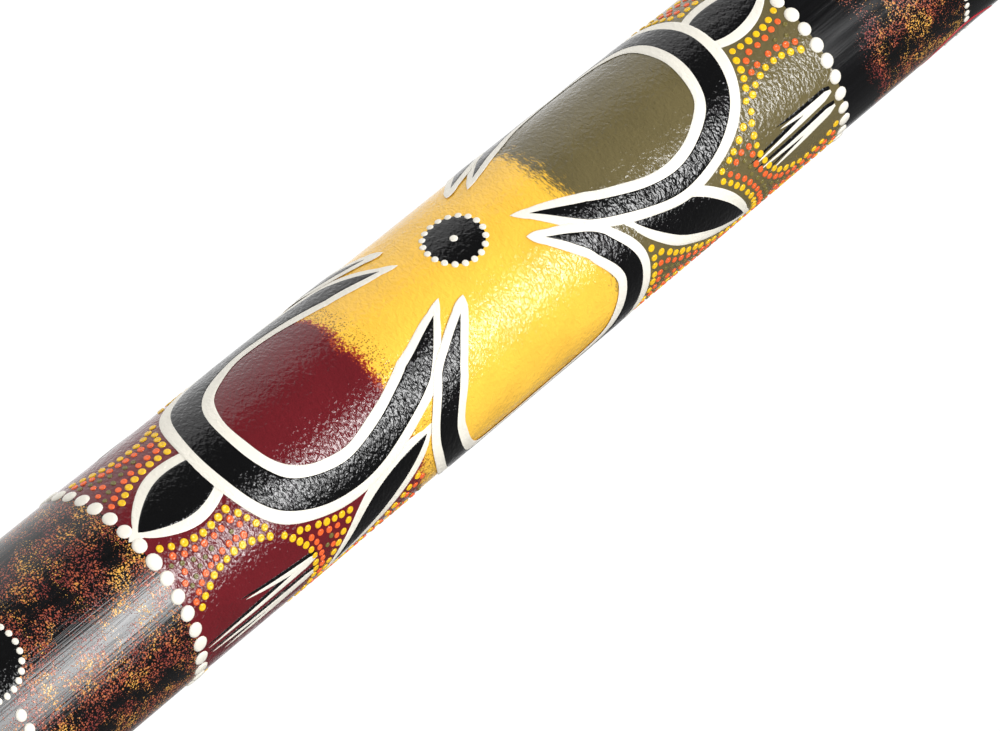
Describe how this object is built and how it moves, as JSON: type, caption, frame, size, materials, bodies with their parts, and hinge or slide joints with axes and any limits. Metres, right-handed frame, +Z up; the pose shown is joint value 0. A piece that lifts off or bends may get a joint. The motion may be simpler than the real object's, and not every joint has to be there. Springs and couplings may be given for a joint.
{
  "type": "didgeridoo",
  "caption": "Straight conical drone pipe in two glued hardwood halves, lacquered and dot-painted, with a beeswax mouthpiece at the narrow end.",
  "frame": {"origin": "centre of the bell's rim, the wide end that the pipe stands on", "axes": "+Z up the air column from the bell to the wax mouthpiece, -Y out of the front half, the glued seams on the +X and -X sides"},
  "size_m": [0.0762, 0.076, 1.3],
  "materials": {
    "teak": "bare sawn teak with open pores",
    "wood_glue": "dark dried glue",
    "black_lacquer": "semi-gloss lacquer over fine brush grain",
    "maroon_paint": "glossy varnished paint, lightly wrinkled",
    "yellow_paint": "glossy varnished paint, lightly wrinkled",
    "olive_paint": "glossy varnished paint, lightly wrinkled",
    "cream_paint": "thick glossy beads of paint",
    "beeswax": "hand-worked beeswax, satin"
  },
  "bodies": {
    "root": {"front_half_shell": "teak", "back_half_shell": "teak", "glue_seams": "wood_glue", "black_lacquer": "black_lacquer", "maroon_coat": "maroon_paint", "yellow_coat": "yellow_paint", "olive_coat": "olive_paint", "bead_ring_bell": "cream_paint", "bead_ring_lower_band": "cream_paint", "bead_ring_panel_low": "cream_paint", "bead_ring_panel_high": "cream_paint", "bead_ring_upper_band": "cream_paint", "bead_ring_mouth": "cream_paint", "wax_mouthpiece": "beeswax"}
  },
  "joints": []
}
